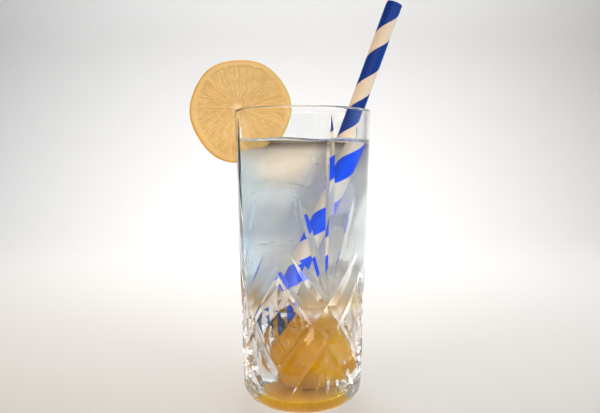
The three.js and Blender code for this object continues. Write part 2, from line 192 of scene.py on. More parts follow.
def settings(name):
    """One group of settings of the scene."""
    return getattr(bpy.context.scene, "cocktail_" + name)


def deselect_all():
    if bpy.context.object and bpy.context.object.mode != "OBJECT":
        bpy.ops.object.mode_set(mode="OBJECT")
    bpy.ops.object.select_all(action="DESELECT")


def pick(*pieces):
    """Selects these pieces alone and makes the first one active."""
    deselect_all()
    for piece in pieces:
        piece.select_set(True)
    bpy.context.view_layer.objects.active = pieces[0]


def drawn_line(name, points):
    """A line extruded from one point through all the others, which stays selected in edit mode."""
    deselect_all()
    bpy.ops.mesh.primitive_plane_add(size=MM)
    piece = bpy.context.object
    piece.name = name
    bpy.ops.object.mode_set(mode="EDIT")
    bpy.ops.mesh.merge(type="CENTER")
    bpy.ops.transform.translate(value=points[0])
    for start, end in zip(points, points[1:]):
        step = tuple(after - before for before, after in zip(start, end))
        bpy.ops.mesh.extrude_region_move(TRANSFORM_OT_translate={"value": step})
    bpy.ops.mesh.select_all(action="SELECT")
    return piece


def turned(name, profile, steps):
    """Spins a half profile of (radius, height) points once round the upright axis."""
    piece = drawn_line(name, [(radius, 0, height) for radius, height in profile])
    bpy.ops.mesh.spin(steps=steps, angle=2 * math.pi, center=(0, 0, 0), axis=(0, 0, 1))
    close_skin()
    return piece


def close_skin():
    """Merges doubled points of the piece in edit mode and points its faces outwards."""
    bpy.ops.mesh.select_all(action="SELECT")
    bpy.ops.mesh.remove_doubles(threshold=0.002 * MM)
    bpy.ops.mesh.normals_make_consistent(inside=False)
    bpy.ops.object.mode_set(mode="OBJECT")


def smooth(piece, degrees):
    pick(piece)
    bpy.ops.object.shade_smooth_by_angle(angle=math.radians(degrees))


def move_points(piece, place):
    """Moves each point of a mesh to the place that a function gives for it."""
    for vertex in piece.data.vertices:
        vertex.co = place(vertex.co)
    piece.data.update()


def cut(piece, cutters):
    """Cuts a collection of solids out of a piece and removes them."""
    modifier = piece.modifiers.new("cut", "BOOLEAN")
    modifier.operation = "DIFFERENCE"
    modifier.operand_type = "COLLECTION"
    modifier.collection = cutters
    modifier.solver = "MANIFOLD"
    pick(piece)
    bpy.ops.object.modifier_apply(modifier=modifier.name)
    for cutter in list(cutters.objects):
        bpy.data.objects.remove(cutter)
    bpy.data.collections.remove(cutters)


def cutter_collection(name):
    cutters = bpy.data.collections.new(name)
    bpy.context.scene.collection.children.link(cutters)
    return cutters


def into(collection, piece):
    """Moves a piece into one collection alone."""
    for other in list(piece.users_collection):
        other.objects.unlink(piece)
    collection.objects.link(piece)


def arc(centre, radius, start, end, steps):
    """Points of a round stretch of a profile, its ends included. Angles are in degrees."""
    points = []
    for i in range(steps + 1):
        angle = math.radians(start + (end - start) * i / steps)
        points.append((centre[0] + radius * math.cos(angle), centre[1] + radius * math.sin(angle)))
    return points


def rising(value, start, end):
    """0 before the start and 1 past the end, with a soft rise between. The end may be the lower one."""
    share = min(1.0, max(0.0, (value - start) / (end - start)))
    return share * share * (3 - 2 * share)


def uneven(point, size, scale=1.0):
    """A smooth random offset of at most about this size. The larger the scale, the finer it is."""
    return noise.noise(Vector(point) * scale) * size


def finished(piece, material, slot, *nodes):
    """Gives a piece its material and its body, and hides the solids that it stands for. The slot is not used.
    """
    piece.data.materials.clear()
    piece.data.materials.append(material)
    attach(piece, BODY)
    if nodes:
        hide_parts(*nodes)
    return piece


# Material helpers

class Nodes:
    """The node tree of a material or a world, built a node at a time."""

    def __init__(self, owner, output="OutputMaterial"):
        owner.use_nodes = True
        self.tree = owner.node_tree
        self.tree.nodes.clear()
        self.output = self.node(output)

    def feed(self, node, key, value):
        socket = node.inputs[key]
        if isinstance(value, bpy.types.NodeSocket):
            self.tree.links.new(value, socket)
        elif socket.type == "RGBA" and len(value) == 3:
            socket.default_value = (*value, 1.0)
        else:
            socket.default_value = value

    def node(self, kind, inputs=None, **options):
        made = self.tree.nodes.new("ShaderNode" + kind)
        for key, value in options.items():
            setattr(made, key, value)
        for key, value in (inputs or {}).items():
            self.feed(made, key, value)
        return made

    def math(self, operation, a, b=0.0):
        return self.node("Math", {0: a, 1: b}, operation=operation).outputs[0]

    def times(self, a, b):
        return self.math("MULTIPLY", a, b)

    def length(self, vector):
        return self.node("VectorMath", {0: vector}, operation="LENGTH").outputs["Value"]

    def split(self, vector):
        return self.node("SeparateXYZ", {0: vector}).outputs[:3]

    def join(self, *values):
        return self.node("CombineXYZ", dict(enumerate(values))).outputs[0]

    def mix(self, factor, a, b):
        return self.node("Mix", {0: factor, 6: a, 7: b}, data_type="RGBA").outputs[2]

    def mix_shaders(self, factor, a, b):
        return self.node("MixShader", {0: factor, 1: a.outputs[0], 2: b.outputs[0]})

    def fade(self, value, start, end, low=0.0, high=1.0):
        """Runs from low at the start to high at the end. The end may be the lower one."""
        return self.node("MapRange", {0: value, 1: start, 2: end, 3: low, 4: high}).outputs[0]

    def ramp(self, factor, stops):
        """Runs through stops of a position and a grey or a colour."""
        made = self.node("ValToRGB", {0: factor})
        elements = made.color_ramp.elements
        while len(elements) < len(stops):
            elements.new(0.5)
        for element, (position, shade) in zip(elements, stops):
            element.position = position
            element.color = (*shade, 1) if isinstance(shade, tuple) else (shade, shade, shade, 1)
        return made.outputs[0]

    def surface(self, shader):
        self.feed(self.output, "Surface", shader.outputs[0])


class Finish(Nodes):
    """One material of a piece."""

    def __init__(self, name):
        self.material = bpy.data.materials.new(name)
        super().__init__(self.material)

    def place(self, location=(0, 0, 0), rotation=(0, 0, 0), scale=(1, 1, 1)):
        """The piece's own coordinates, scaled, turned and then moved."""
        own = self.node("TexCoord").outputs["Object"]
        inputs = {"Vector": own, "Location": location, "Rotation": rotation, "Scale": scale}
        return self.node("Mapping", inputs).outputs[0]

    def in_mm(self, location=(0, 0, 0), rotation=(0, 0, 0)):
        """The piece's own coordinates in millimetres, turned and then moved."""
        return self.place(location, rotation, (1 / MM, 1 / MM, 1 / MM))

    def mark(self, name):
        """A value that the modelling left on the mesh."""
        return self.node("Attribute", attribute_name=name).outputs["Fac"]

    def noise(self, vector, scale, detail=2.0, roughness=0.5):
        inputs = {"Vector": vector, "Scale": scale, "Detail": detail, "Roughness": roughness}
        return self.node("TexNoise", inputs).outputs[0]

    def bump(self, height, distance, strength):
        inputs = {"Height": height, "Distance": distance, "Strength": strength}
        return self.node("Bump", inputs).outputs[0]

    def solid(self, inputs):
        """Finishes the material as one that light doesn't pass."""
        self.surface(self.node("BsdfPrincipled", inputs))
        return self.material

    def clear(self, shadow_tint, inputs):
        """Finishes the material as a clear one that lets lamps through: shadow rays pass with a tint."""
        shader = self.node("BsdfPrincipled", inputs)
        through = self.node("BsdfTransparent", {"Color": shadow_tint})
        is_shadow = self.node("LightPath").outputs["Is Shadow Ray"]
        self.surface(self.mix_shaders(is_shadow, shader, through))
        return self.material

    def smooth_clear(self, shadow_tint, ior, colour=(1.0, 1.0, 1.0), gloss=0.5):
        """Finishes the material as smooth glass, liquid or air."""
        return self.clear(shadow_tint, {
            "Base Color": colour,
            "Roughness": 0.0,
            "IOR": ior,
            "Specular IOR Level": gloss,
            "Transmission Weight": 1.0,
        })

    def absorb(self, colour, density):
        volume = self.node("VolumeAbsorption", {"Color": colour, "Density": density})
        self.feed(self.output, "Volume", volume.outputs[0])


# Glass

FLOOR_CORNER_STEPS = 8
SWELL_ROWS = 16
FOOT_STEPS = 16
LIP_STEPS = 12


def outer_radius(z):
    glass = settings("glass")
    return glass.foot_radius + (glass.rim_radius - glass.foot_radius) * z / glass.height


def wall_inside(z):
    """Inner radius of the glass's wall, which thickens to the floor, leaving out the floor's corner."""
    glass = settings("glass")
    share = (glass.height - z) / (glass.height - glass.floor_top)
    low = max(0.0, (glass.swell_top - z) / (glass.swell_top - glass.floor_top))
    straight = outer_radius(z) - glass.rim_wall - (glass.floor_wall - glass.rim_wall) * share
    return straight - glass.swell * low ** 2


def floor_corner(into=0.0):
    """Centre, radius and upper end of the round between the inside floor and the wall."""
    glass = settings("glass")
    round_radius = glass.floor_round
    bottom = glass.floor_top - into
    end = bottom + round_radius
    step = 0.1 * MM
    # The end depends on the wall's lean there, so both are worked out again until they agree
    for _ in range(4):
        lean = math.atan((wall_inside(end + step) - wall_inside(end - step)) / (2 * step))
        end = bottom + round_radius * (1 - math.sin(lean))
    centre = (wall_inside(end) + into - round_radius * math.cos(lean), bottom + round_radius)
    return centre, lean, end


def inner_radius(z):
    """Inner radius of the glass with its rounded corner."""
    glass = settings("glass")
    centre, _, end = floor_corner()
    if z >= end:
        return wall_inside(z)
    drop = min(centre[1] - z, glass.floor_round)
    return centre[0] + math.sqrt(glass.floor_round ** 2 - drop ** 2)


def inside_profile(top, into=0.0):
    """Half profile of the glass's inside from the middle of the floor up to a height."""
    glass = settings("glass")
    centre, lean, end = floor_corner(into)
    points = [(0.0, glass.floor_top - into)]
    points += arc(centre, glass.floor_round, -90, -math.degrees(lean), FLOOR_CORNER_STEPS)
    heights = [end + (glass.swell_top - end) * i / SWELL_ROWS for i in range(1, SWELL_ROWS + 1)]
    points += [(wall_inside(z) + into, z) for z in heights]
    return [*points, (wall_inside(top) + into, top)]


def foot_profile(top):
    """Half profile of the glass's outside: flat bottom, rounded foot, then the straight leaning side."""
    glass = settings("glass")
    corner = glass.foot_round
    taper = (outer_radius(top) - outer_radius(0.0)) / top
    centre = (outer_radius(corner) - corner * math.hypot(1, taper), corner)
    round_stretch = arc(centre, corner, -90, -math.degrees(math.atan(taper)), FOOT_STEPS)
    return [(0.0, 0.0), *round_stretch, (outer_radius(top), top)]


def glass_blank():
    glass = settings("glass")
    lip = glass.rim_wall / 2
    lip_height = glass.height - lip
    over = arc((glass.rim_radius - lip, lip_height), lip, 0, 180, LIP_STEPS)[1:-1]
    inside = inside_profile(lip_height)
    return turned("cut_glass", [*foot_profile(lip_height), *over, *reversed(inside)], glass.sides)


def groove_blank(sections):
    """A three-sided bar with one section for each whole height, to be bent into a groove."""
    deselect_all()
    bpy.ops.mesh.primitive_circle_add(vertices=3, radius=1, fill_type="NGON")
    blank = bpy.context.object
    bpy.ops.object.mode_set(mode="EDIT")
    for _ in range(sections):
        bpy.ops.mesh.extrude_region_move(TRANSFORM_OT_translate={"value": (0, 0, 1)})
    bpy.ops.object.mode_set(mode="OBJECT")
    return blank


def section_across(run, kind):
    """Direction in which a groove's section is laid for its run: square, upright or crossing."""
    if kind == "upright":
        return (0.0, 1 / abs(run[0]))
    if kind == "crossing":
        skew = 2 * abs(run[0] * run[1])
        return (-run[0] / skew, run[1] / skew)
    return (run[1], -run[0])


class Groove:
    """One straight V cut on the unrolled wall, from start to end in (around, height).

    It is as wide on each side as its depth times its spread, and rises out of the wall over its tips.
    """

    # How far the cutter's sides stand out of the wall, and how far above it a tip ends
    LIFT = 0.8 * MM
    RAISED = 0.04 * MM

    def __init__(self, start, end, depth, spread, kind="square", start_tip=0.0, end_tip=0.0):
        self.start = start
        self.length = math.hypot(end[0] - start[0], end[1] - start[1])
        self.run = ((end[0] - start[0]) / self.length, (end[1] - start[1]) / self.length)
        self.across = section_across(self.run, kind)
        self.depth = depth
        self.spread = spread
        self.tips = (start_tip, end_tip)

    def along(self, share):
        """Distance along the groove for an even share of its sections, closer near its tips."""
        start_tip, end_tip = self.tips
        if start_tip and end_tip:
            return self.length * (1 - math.cos(math.pi * share)) / 2
        if end_tip:
            return self.length * math.sin(math.pi / 2 * share)
        return self.length * share

    def depth_at(self, along):
        share = 1.0
        for tip, distance in zip(self.tips, (along, self.length - along)):
            if tip:
                share *= math.sin(math.pi / 2 * min(1.0, distance / tip))
        return (self.depth + self.RAISED) * share - self.RAISED

    def place(self, share, corner):
        """A point of the cutter: corner 0 is the bottom of the V, -1 and 1 are its sides."""
        along = self.along(share)
        depth = self.depth_at(along)
        side = corner * (depth + self.LIFT) * self.spread
        around = self.start[0] + self.run[0] * along + self.across[0] * side
        height = self.start[1] + self.run[1] * along + self.across[1] * side
        reach = outer_radius(height) + (self.LIFT if corner else -depth)
        angle = around / settings("cuts").reference_radius
        return Vector((reach * math.sin(angle), -reach * math.cos(angle), height))


def fan_grooves(axis):
    """All grooves of one repeat of the pattern, about the axis of its fan."""
    cuts = settings("cuts")
    half = math.pi * cuts.reference_radius / cuts.repeats
    steepness = (cuts.peak_rise + cuts.root_rise) / half
    peak = cuts.middle + cuts.peak_rise
    trough = cuts.middle - cuts.peak_rise
    reach = (half + cuts.past_axis) * steepness
    high_root = cuts.middle + cuts.root_rise
    low_root = cuts.middle - cuts.root_rise
    side_blade_aside = 14.7 * MM
    side_blade_top = 107.2 * MM
    low_blade_aside = 6.9 * MM
    low_blade_tip = 10.5 * MM
    wide = {"depth": cuts.wide_depth, "spread": 1.9, "kind": "upright", "end_tip": 16 * MM}
    small = {"depth": cuts.small_depth, "spread": 3.0, "kind": "crossing"}
    middle_blade = {"depth": 1.1 * MM, "spread": 1.75, "start_tip": 22 * MM, "end_tip": 18 * MM}
    side_blade = {"depth": 0.95 * MM, "spread": 1.75, "start_tip": 18 * MM, "end_tip": 16 * MM}
    low_blade = {"depth": 0.9 * MM, "spread": 1.6, "start_tip": 12 * MM, "end_tip": 9 * MM}

    def at(around, height):
        return (axis + around, height)

    grooves = [
        Groove(at(0, high_root), at(0, cuts.blade_top), **middle_blade),
        Groove(at(0, low_root), at(0, low_blade_tip), **low_blade),
    ]
    for side in (-1, 1):
        grooves += [
            Groove(at(-half * side, peak), at(cuts.past_axis * side, peak - reach), **wide),
            Groove(at(half * side, trough), at(-cuts.past_axis * side, trough + reach), **wide),
            Groove(at(0, high_root), at(side_blade_aside * side, side_blade_top), **side_blade),
            Groove(at(0, low_root), at(low_blade_aside * side, low_blade_tip), **low_blade),
        ]
        for row in (-3, -1, 1, 3):
            start, end = ((row + shift) * cuts.diamond_half / 2 for shift in (-3, 3))
            grooves.append(Groove(at(half + start * side / steepness, cuts.middle + end),
                                  at(half + end * side / steepness, cuts.middle + start), **small))
    return grooves


class COCKTAIL_OT_glass(bpy.types.Operator):
    """Spin the tumbler and cut its pattern of fans, crossed bands and small diamonds"""
    bl_idname = "cocktail.glass"
    bl_label = "Cut Glass"

    SECTIONS = 14
    NEAR = 0.1 * MM

    def execute(self, context):
        cuts = settings("cuts")
        body = glass_blank()
        blank = groove_blank(self.SECTIONS)
        cutters = cutter_collection("grooves")
        for i in range(cuts.repeats):
            axis = cuts.reference_radius * (cuts.first_fan + 2 * math.pi * i / cuts.repeats)
            for groove in fan_grooves(axis):
                self.add_cutter(blank, groove, cutters)
        bpy.data.objects.remove(blank)
        pick(*cutters.objects)
        bpy.ops.object.mode_set(mode="EDIT")
        bpy.ops.mesh.select_all(action="SELECT")
        bpy.ops.mesh.normals_make_consistent(inside=False)
        bpy.ops.object.mode_set(mode="OBJECT")
        cut(body, cutters)
        pick(body)
        bpy.ops.object.mode_set(mode="EDIT")
        close_skin()
        smooth(body, 13)
        finished(body, clear_glass(), "clear_glass", "glass")
        self.wet_inside(body)
        return {"FINISHED"}

    def wet_inside(self, body):
        """Gives the inside of the wall below the drink's surface the finish of wet glass."""
        lowest = settings("glass").floor_top - self.NEAR
        level = settings("drink").level
        body.data.materials.append(wet_glass())
        for face in body.data.polygons:
            z = face.center.z
            on_wall = math.hypot(face.center.x, face.center.y) < inner_radius(z) + self.NEAR
            if lowest < z < level and on_wall:
                face.material_index = 1

    def add_cutter(self, blank, groove, cutters):
        cutter = blank.copy()
        cutter.data = blank.data.copy()
        cutters.objects.link(cutter)

        def place(point):
            corner = 0 if point.y > 0.5 else math.copysign(1, point.x)
            return groove.place(point.z / self.SECTIONS, corner)

        move_points(cutter, place)


def clear_glass(name="clear_glass", gloss=0.5):
    return Finish(name).smooth_clear((0.90, 0.905, 0.91), 1.5, (0.99, 0.995, 1.0), gloss)


def wet_glass():
    """Glass with liquid against it, which reflects next to nothing."""
    return clear_glass("wet_glass", 0.05)


# Drink and ice

def drink_height(x, y):
    """The drink's gently uneven surface."""
    drink = settings("drink")
    from_wall = max(0.0, inner_radius(drink.level) - math.hypot(x, y))
    meniscus = drink.meniscus * math.exp(-from_wall / drink.meniscus_reach)
    return drink.level + uneven((x, y, 0.0), 0.7 * MM, 60) + meniscus


class COCKTAIL_OT_drink(bpy.types.Operator):
    """Fill the glass with the drink up to its level, with an uneven surface and a meniscus"""
    bl_idname = "cocktail.drink"
    bl_label = "Drink"

    SIDES = 160
    RINGS = 30
    CROWDING = 1.9

    def execute(self, context):
        drink = settings("drink")
        profile = inside_profile(drink.level, drink.into_wall)
        edge = profile[-1][0]
        # The surface's rings crowd towards the wall, where the meniscus rises
        shares = [1 - (i / self.RINGS) ** self.CROWDING for i in range(1, self.RINGS + 1)]
        surface = [(edge * share, drink.level) for share in shares]
        body = turned("drink_body", [*profile, *surface], self.SIDES)
        top = drink.level - 0.01 * MM
        move_points(body, lambda p: Vector((p.x, p.y, drink_height(p.x, p.y) if p.z > top else p.z)))
        smooth(body, 40)
        finished(body, drink_liquid(), "drink", "drink")
        return {"FINISHED"}


def drink_liquid():
    drink = settings("drink")
    finish = Finish("drink_liquid")
    finish.absorb(drink.tint, drink.density)
    return finish.smooth_clear((0.93, 0.93, 0.93), 1.33, gloss=0.2)


class COCKTAIL_OT_haze(bpy.types.Operator):
    """Fill the back of the drink with the cloud of juice and melting ice that hides what is behind"""
    bl_idname = "cocktail.haze"
    bl_label = "Cloudy Drink"

    LOW = 42.0 * MM
    TOP = 130.7 * MM
    UNDER_SURFACE = 0.25 * MM
    FROM_WALL = 0.7 * MM
    BEHIND_STRAW = 5.6 * MM
    NEAREST_STRAW = -1.0 * MM
    BILLOW = 14 * MM
    DRIFT = 30 * MM
    ROWS = 34
    CAP_RINGS = 8
    SIDES = 96

    def execute(self, context):
        heights = [self.LOW + (self.TOP - self.LOW) * i / self.ROWS for i in range(self.ROWS + 1)]
        side = [(wall_inside(z) - self.FROM_WALL, z) for z in heights]
        caps = [side[0][0] * i / self.CAP_RINGS for i in range(self.CAP_RINGS)]
        profile = [(r, self.LOW) for r in caps] + side + [(r, self.TOP) for r in reversed(caps)]
        cloud = turned("cloudy_drink", profile, self.SIDES)
        move_points(cloud, self.place)
        smooth(cloud, 50)
        finished(cloud, cloudy_drink(), "drink")
        return {"FINISHED"}

    def billow(self, x, z):
        """How far the cloud comes forward beside the straw, as a share of BILLOW."""
        beside = abs(x - straw_middle(z))
        # Puffs about 33 mm wide and 18 mm high, with gaps between them
        puff = max(0.0, 0.5 + uneven((x * 30, 4.0, z * 55), 1.2))
        return puff * rising(beside, 7 * MM, 16 * MM) * rising(z, 58 * MM, 75 * MM)

    def drift(self, x, z):
        """How far it comes forward low on the right, above the scoop, as a share of DRIFT."""
        return rising(z, 62 * MM, 45 * MM) * rising(x, -7 * MM, 1 * MM)

    def place(self, point):
        """Squeezes the round body to the half of the glass behind the straw, with a wavy front."""
        x, _, z = point
        wall = wall_inside(z) - self.FROM_WALL
        deepest = math.sqrt(max(wall * wall - x * x, 0.0))
        waves = uneven(point, 2.4 * MM, 60) + uneven(point, 3.0 * MM, 25)
        front = self.BEHIND_STRAW + max(waves, self.NEAREST_STRAW)
        front -= self.BILLOW * self.billow(x, z) + self.DRIFT * self.drift(x, z)
        # The front stays inside the glass
        front = max(min(front, deepest * 0.9), -deepest * 0.94)
        share = (point.y + deepest) / (2 * deepest) if deepest > 1e-5 else 0.5
        y = front + (deepest - front) * share
        on_top = z > self.TOP - 1e-5
        return Vector((x, y, drink_height(x, y) - self.UNDER_SURFACE if on_top else z))


def cloudy_drink():
    finish = Finish("cloudy_drink")
    where = finish.in_mm()
    x, y, z = finish.split(where)
    clouds = finish.ramp(finish.noise(where, 0.07, 4.0, 0.55), [(0.35, 0.0), (0.7, 1.0)])
    colour = finish.mix(clouds, settings("drink").haze, (0.68, 0.72, 0.73))
    # Painted light: cool light from the room is painted into the cloud, which grows bluer towards the left
    # wall
    painted_cool_light = finish.ramp(finish.times(x, -1 / 28), [(0.30, 0.0), (0.9, 0.85)])
    colour = finish.mix(painted_cool_light, colour, (0.60, 0.79, 0.94))
    # Painted light: in front, a warm glow is painted into the ice near the surface
    glow_place = finish.place(location=(0.15, 0, -120 / 14), scale=(1 / (20 * MM), 0, 1 / (14 * MM)))
    painted_warm_glow = finish.ramp(finish.length(glow_place), [(0.3, 0.95), (1.0, 0.0)])
    colour = finish.mix(finish.times(painted_warm_glow, finish.fade(y, 15.0, 5.0)), colour, (1.0, 0.87, 0.70))
    # From the top down: shade below the surface, pulp above the puree, settled puree, and near white where
    # the cloud thins out. Each has the heights over which it comes in, its strength and its colour.
    layers = (
        (116.0, 131.0, 0.5, (0.56, 0.44, 0.32)),
        (64.0, 55.0, 1.0, (0.48, 0.41, 0.31)),
        (56.0, 51.0, 1.0, (0.58, 0.37, 0.12)),
        (52.0, 47.0, 1.0, (1.0, 0.98, 0.93)),
    )
    for start, end, strength, tone in layers:
        colour = finish.mix(finish.fade(z, start, end, high=strength), colour, tone)
    # Painted shade: a dark line under the surface stands for the shade of the meniscus; it is on the cloud's
    # upright sides alone, not on its top
    upwards = finish.split(finish.node("NewGeometry").outputs["True Normal"])[2]
    painted_meniscus_shade = finish.times(finish.fade(z, 127.0, 130.8, high=0.97), finish.fade(upwards, 0.97, 0.9))
    return finish.clear((0.84, 0.84, 0.84), {
        "Base Color": finish.mix(painted_meniscus_shade, colour, (0.20, 0.165, 0.13)),
        "Roughness": 0.7,
        "IOR": 1.02,
        "Specular IOR Level": 0.1,
        "Transmission Weight": finish.fade(z, 54.0, 46.0, low=0.12),
    })


class COCKTAIL_OT_ice(bpy.types.Operator):
    """Sink clear, rounded ice cubes with frosty edges in front of the cloud"""
    bl_idname = "cocktail.ice"
    bl_label = "Ice"

    # Centre and size in millimetres, turn in degrees and cloudiness of each cube
    CUBES = (
        ((-12, -7, 95), (20, 14, 26), (4, -4, 8), 0.02),
        ((-6, -7, 119), (19, 13, 15), (5, 8, 20), 0.03),
        ((16, -10, 104), (12, 9, 14), (10, -8, 12), 0.14),
        ((16, -9, 82), (12, 9, 15), (-8, 12, 10), 0.04),
        ((-12, -8, 68), (16, 13, 17), (12, -12, 22), 0.04),
    )
    # In shares of a cube's size: rounding of its edges, swell of its melted faces, and where frost begins
    # off its middle and over how much it comes in
    ROUNDING = 0.2
    SWELL = 0.09
    FROST_FROM = 0.30
    FROST_OVER = 0.12

    def execute(self, context):
        for i, (centre, size, turn, cloud) in enumerate(self.CUBES):
            cube = self.cube(f"ice_{i + 1}", Vector(centre) * MM, Vector(size) * MM, turn, i)
            finished(cube, ice_block(i, cloud), "drink")
        return {"FINISHED"}

    def cube(self, name, centre, size, turn, seed):
        deselect_all()
        bpy.ops.mesh.primitive_cube_add(size=1)
        piece = bpy.context.object
        piece.name = name
        bpy.ops.object.mode_set(mode="EDIT")
        bpy.ops.mesh.bevel(offset=self.ROUNDING, segments=5, profile=0.6, affect="EDGES")
        bpy.ops.mesh.subdivide(number_cuts=2)
        bpy.ops.object.mode_set(mode="OBJECT")
        modifier = piece.modifiers.new("round", "SUBSURF")
        modifier.levels = modifier.render_levels = 1
        bpy.ops.object.modifier_apply(modifier=modifier.name)
        offset = Vector((seed * 3.7, seed * 1.3, 0))
        spin = Euler([math.radians(angle) for angle in turn])
        edge = [self.edge_share(vertex.co) for vertex in piece.data.vertices]
        attribute = piece.data.attributes.new("edge", "FLOAT", "POINT")
        attribute.data.foreach_set("value", edge)

        def melted(point):
            swell = uneven(point * 2.2 + offset, self.SWELL)
            out = (point + point.normalized() * swell) * size
            out.rotate(spin)
            return out + centre

        move_points(piece, melted)
        smooth(piece, 60)
        return piece

    def edge_share(self, point):
        """1 along the rounded edges and corners of a cube of size 1, 0 on its faces."""
        _, middle, _ = sorted(abs(value) for value in point)
        return min(1.0, max(0.0, (middle - self.FROST_FROM) / self.FROST_OVER))


def ice_block(index, cloud):
    finish = Finish(f"ice_block_{index + 1}")
    where = finish.in_mm()
    ripples = finish.noise(where, 0.35, 3.0)
    frost = finish.times(finish.mark("edge"), finish.times(ripples, 0.07))
    mist = finish.ramp(finish.noise(where, 0.16, 3.0), [(0.35, 0.6), (0.65, 1.0)])
    cloudy = finish.math("ADD", finish.times(mist, cloud), frost)
    return finish.clear((0.96, 0.97, 0.97), {
        "Base Color": (0.95, 0.97, 0.98),
        "Roughness": 0.1,
        "IOR": 1.012,
        "Transmission Weight": finish.math("SUBTRACT", 1.0, cloudy),
        "Normal": finish.bump(ripples, 0.4 * MM, 0.5),
    })


class COCKTAIL_OT_bubbles(bpy.types.Operator):
    """Scatter small bubbles under the ice near the surface and along the wall"""
    bl_idname = "cocktail.bubbles"
    bl_label = "Bubbles"

    COUNT = 46
    SHARE_UNDER_ICE = 0.6
    SEED = 11

    def execute(self, context):
        draw = random.Random(self.SEED)
        deselect_all()
        bpy.ops.mesh.primitive_ico_sphere_add(subdivisions=2, radius=1)
        pattern = bpy.context.object
        spots = [self.spot(draw) for _ in range(self.COUNT)]
        for centre, size in spots:
            bubble = pattern.copy()
            bubble.data = pattern.data.copy()
            context.scene.collection.objects.link(bubble)
            shape = Vector((1.4, 1.0, draw.uniform(0.5, 1.0))) * size
            move_points(bubble, lambda p: centre + p * shape)
            bubble.select_set(True)
        pattern.select_set(False)
        made = list(context.selected_objects)
        bpy.data.objects.remove(pattern)
        pick(*made)
        bpy.ops.object.join()
        joined = context.object
        joined.name = "bubbles"
        smooth(joined, 60)
        finished(joined, bubble_skin(), "drink")
        return {"FINISHED"}

    def spot(self, draw):
        """Centre and size of one bubble, either under the ice or along the wall."""
        under_ice = draw.random() < self.SHARE_UNDER_ICE
        around = draw.uniform(-0.7, 0.5) if under_ice else draw.uniform(0, 2 * math.pi)
        height = draw.gauss(113.5, 2.2) * MM if under_ice else draw.uniform(70, 130) * MM
        height = min(height, settings("drink").level - 1.5 * MM)
        size = draw.uniform(0.18, 0.5) * MM
        depth = draw.uniform(0.8, 7.0 if under_ice else 2.0) * MM
        reach = wall_inside(height) - size - depth
        return Vector((reach * math.sin(around), -reach * math.cos(around), height)), size


def bubble_skin():
    return Finish("bubble_skin").smooth_clear((0.98, 0.98, 0.98), 1.33)


# Puree

def scoop_share(z):
    """Share of the scoop's half width that is left at a height."""
    puree = settings("puree")
    span = puree.top - puree.widest if z > puree.widest else puree.below
    rise = min(1.0, abs(z - puree.widest) / span)
    return (1 - rise * rise) ** 0.52


def scoop_lumps(angle, z):
    """Unevenness of the scoop about its middle, as a factor on its reach."""
    height = z / MM
    broad = 0.035 * math.sin(3 * angle + 0.12 * height + 0.8)
    narrow = 0.025 * math.sin(5 * angle - 0.2 * height + 2)
    return 1 + broad + narrow


def wall_reach(middle, direction, z):
    """Distance from a place across to the inside of the glass in a direction."""
    along = middle * direction.x
    return math.sqrt(max(along ** 2 + inner_radius(z) ** 2 - middle ** 2, 0.0)) - along


class COCKTAIL_OT_puree(bpy.types.Operator):
    """Fill the floor of the glass with loose yuzu puree and drop the scoop on it, right of the straw"""
    bl_idname = "cocktail.puree"
    bl_label = "Yuzu Puree"

    INTO_WALL = 0.3 * MM
    LEAN_FROM = 30 * MM
    LEAN_OVER = 18 * MM
    FLOOR_RINGS = 8
    ROWS = 90
    SIDES = 160

    def execute(self, context):
        glass = settings("glass")
        puree = settings("puree")
        tall = puree.top - glass.floor_top
        # The plain body's radius, in metres, is each point's share of the puree's reach
        rows = [(i / self.FLOOR_RINGS, glass.floor_top) for i in range(self.FLOOR_RINGS)]
        rows += [(1.0, glass.floor_top + tall * math.sin(math.pi / 2 * i / self.ROWS))
                 for i in range(self.ROWS)]
        rows.append((0.0, puree.top))
        body = turned("yuzu_puree_body", rows, self.SIDES)
        move_points(body, self.place)
        smooth(body, 60)
        finished(body, puree_pulp(), "yuzu_puree", "yuzu_puree")
        return {"FINISHED"}

    def place(self, point):
        """Puts a point of the plain body on the scoop, or at the wall in the pool round its foot."""
        glass = settings("glass")
        puree = settings("puree")
        z = point.z
        share = math.hypot(point.x, point.y)
        angle = math.atan2(point.y, point.x)
        direction = Vector((math.cos(angle), math.sin(angle), 0))
        high = max(0.0, (z - self.LEAN_FROM) / self.LEAN_OVER)
        middle = puree.aside * rising(z, 5 * MM, 12 * MM) + puree.lean * high ** 2
        reach = scoop_share(z) * scoop_lumps(angle, z)
        offset = Vector((puree.half_width * direction.x, puree.half_depth * direction.y, 0)) * reach
        wall = wall_reach(middle, direction, z) + self.INTO_WALL
        skin = (offset.x, offset.y, z)
        scoop = offset.length + uneven(skin, 0.3 * MM, 420) + uneven(skin, 0.7 * MM, 130)
        pool = rising(z, puree.pool + 1.5 * MM, puree.pool - 1.0 * MM)
        length = min(wall, scoop + (wall - scoop) * pool if wall > scoop else scoop)
        along = direction if pool > 0 or offset.length < 1e-6 else offset.normalized()
        floor_drop = self.INTO_WALL if z < glass.floor_top + 0.01 * MM else 0.0
        return Vector((middle, 0, z - floor_drop)) + along * length * share


def puree_pulp():
    puree = settings("puree")
    finish = Finish("puree_pulp")
    where = finish.in_mm()
    broad = finish.ramp(finish.noise(where, 0.09, 3.0), [(0.35, 0.0), (0.68, 1.0)])
    fine = finish.noise(where, 1.1, 4.0, 0.6)
    flecks = finish.ramp(fine, [(0.5, 0.0), (0.72, 0.5)])
    return finish.solid({
        "Base Color": finish.mix(flecks, finish.mix(broad, puree.bright, puree.deep), (0.66, 0.39, 0.004)),
        "Roughness": 0.5,
        "Specular IOR Level": 0.08,
        "Subsurface Weight": 1.0,
        "Subsurface Radius": (1.0, 0.8, 0.1),
        "Subsurface Scale": 22 * MM,
        "Normal": finish.bump(fine, 0.3 * MM, 0.6),
    })


# Straw

def straw_middle(z):
    """Place across of the straw's axis at a height."""
    straw = settings("straw")
    return straw.lean * (z - straw.crossing)


